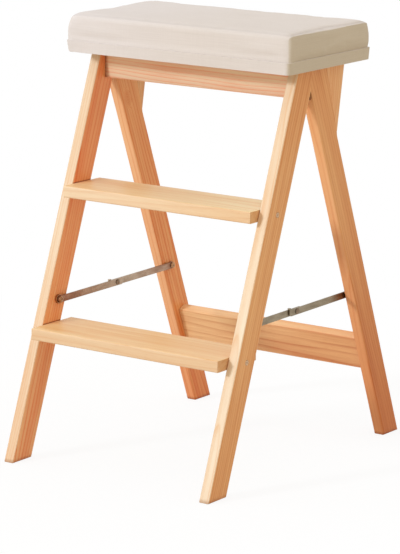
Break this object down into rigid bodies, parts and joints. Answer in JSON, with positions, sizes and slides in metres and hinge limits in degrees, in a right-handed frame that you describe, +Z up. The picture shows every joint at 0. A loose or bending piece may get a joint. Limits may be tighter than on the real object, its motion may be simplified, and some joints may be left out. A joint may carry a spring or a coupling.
{
  "type": "folding step stool chair",
  "caption": "Folding wooden step stool chair: slanted front legs with treads and a padded seat, hinged rear legs joined by a rail, and a folding steel stay on each side.",
  "frame": {"origin": "on the floor, under the middle of the overall box", "axes": "+Z up, +Y from the front treads towards the back legs, +X to the right seen from the front"},
  "size_m": [0.41, 0.516, 0.6653],
  "materials": {
    "front_wood": "satin clear lacquer",
    "rear_wood": "satin clear lacquer",
    "tread_wood": "satin clear lacquer",
    "hidden_wood": "bare",
    "plywood": "bare",
    "stay_steel": "dull plated",
    "screw_steel": "dull plated",
    "upholstery_cloth": "matt woven"
  },
  "bodies": {
    "front_frame": {"front_leg_left": "front_wood", "front_leg_right": "front_wood", "tread_lower": "tread_wood", "tread_upper": "tread_wood", "apron_front": "front_wood", "seat_board": "plywood", "seat_board_cover": "upholstery_cloth", "seat_pad": "upholstery_cloth", "tread_screw_lower_left": "screw_steel", "tread_dowel_lower_left": "hidden_wood", "tread_screw_upper_left": "screw_steel", "tread_dowel_upper_left": "hidden_wood", "apron_dowel_left": "hidden_wood", "seat_screw_left": "screw_steel", "hinge_front_leaf_left": "stay_steel", "hinge_pin_left": "stay_steel", "hinge_screw_front_lower_left": "screw_steel", "hinge_screw_front_upper_left": "screw_steel", "stay_spacer_left": "stay_steel", "stay_screw_front_left": "screw_steel", "tread_screw_lower_right": "screw_steel", "tread_dowel_lower_right": "hidden_wood", "tread_screw_upper_right": "screw_steel", "tread_dowel_upper_right": "hidden_wood", "apron_dowel_right": "hidden_wood", "seat_screw_right": "screw_steel", "hinge_front_leaf_right": "stay_steel", "hinge_pin_right": "stay_steel", "hinge_screw_front_lower_right": "screw_steel", "hinge_screw_front_upper_right": "screw_steel", "stay_spacer_right": "stay_steel", "stay_screw_front_right": "screw_steel"},
    "rear_frame": {"rear_leg_left": "rear_wood", "rear_ear_left": "rear_wood", "rail_dowel_lower_left": "hidden_wood", "rail_dowel_upper_left": "hidden_wood", "hinge_rear_leaf_left": "stay_steel", "hinge_screw_rear_lower_left": "screw_steel", "hinge_screw_rear_upper_left": "screw_steel", "stay_washer_left": "stay_steel", "stay_screw_rear_left": "screw_steel", "rear_leg_right": "rear_wood", "rear_ear_right": "rear_wood", "rail_dowel_lower_right": "hidden_wood", "rail_dowel_upper_right": "hidden_wood", "hinge_rear_leaf_right": "stay_steel", "hinge_screw_rear_lower_right": "screw_steel", "hinge_screw_rear_upper_right": "screw_steel", "stay_washer_right": "stay_steel", "stay_screw_rear_right": "screw_steel", "rear_rail": "rear_wood"},
    "stay_front_left": {"stay_front_link_left": "stay_steel", "stay_rivet_head_left": "stay_steel"},
    "stay_rear_left": {"stay_rear_link_left": "stay_steel", "stay_rivet_back_left": "stay_steel"},
    "stay_front_right": {"stay_front_link_right": "stay_steel", "stay_rivet_head_right": "stay_steel"},
    "stay_rear_right": {"stay_rear_link_right": "stay_steel", "stay_rivet_back_right": "stay_steel"}
  },
  "joints": [
    {"name": "fold", "type": "hinge", "parent": "front_frame", "child": "rear_frame", "pos_m": [0, -0.005, 0.56098], "axis": [-1, 0, 0], "range_deg": [0, 41.2]},
    {"name": "stay_front_left_turn", "type": "hinge", "parent": "front_frame", "child": "stay_front_left", "pos_m": [0, -0.14785, 0.2355], "axis": [1, 0, 0], "range_deg": [0, 65.98]},
    {"name": "stay_rear_left_turn", "type": "hinge", "parent": "rear_frame", "child": "stay_rear_left", "pos_m": [0, 0.14404, 0.2385], "axis": [-1, 0, 0], "range_deg": [0, 55.07]},
    {"name": "stay_front_right_turn", "type": "hinge", "parent": "front_frame", "child": "stay_front_right", "pos_m": [0, -0.14785, 0.2355], "axis": [1, 0, 0], "range_deg": [0, 65.98]},
    {"name": "stay_rear_right_turn", "type": "hinge", "parent": "rear_frame", "child": "stay_rear_right", "pos_m": [0, 0.14404, 0.2385], "axis": [-1, 0, 0], "range_deg": [0, 55.07]}
  ],
  "couplings": [
    {"joint": "stay_front_left_turn", "follows": "fold", "ratio": 1.6014},
    {"joint": "stay_rear_left_turn", "follows": "fold", "ratio": 1.3365},
    {"joint": "stay_front_right_turn", "follows": "fold", "ratio": 1.6014},
    {"joint": "stay_rear_right_turn", "follows": "fold", "ratio": 1.3365}
  ]
}
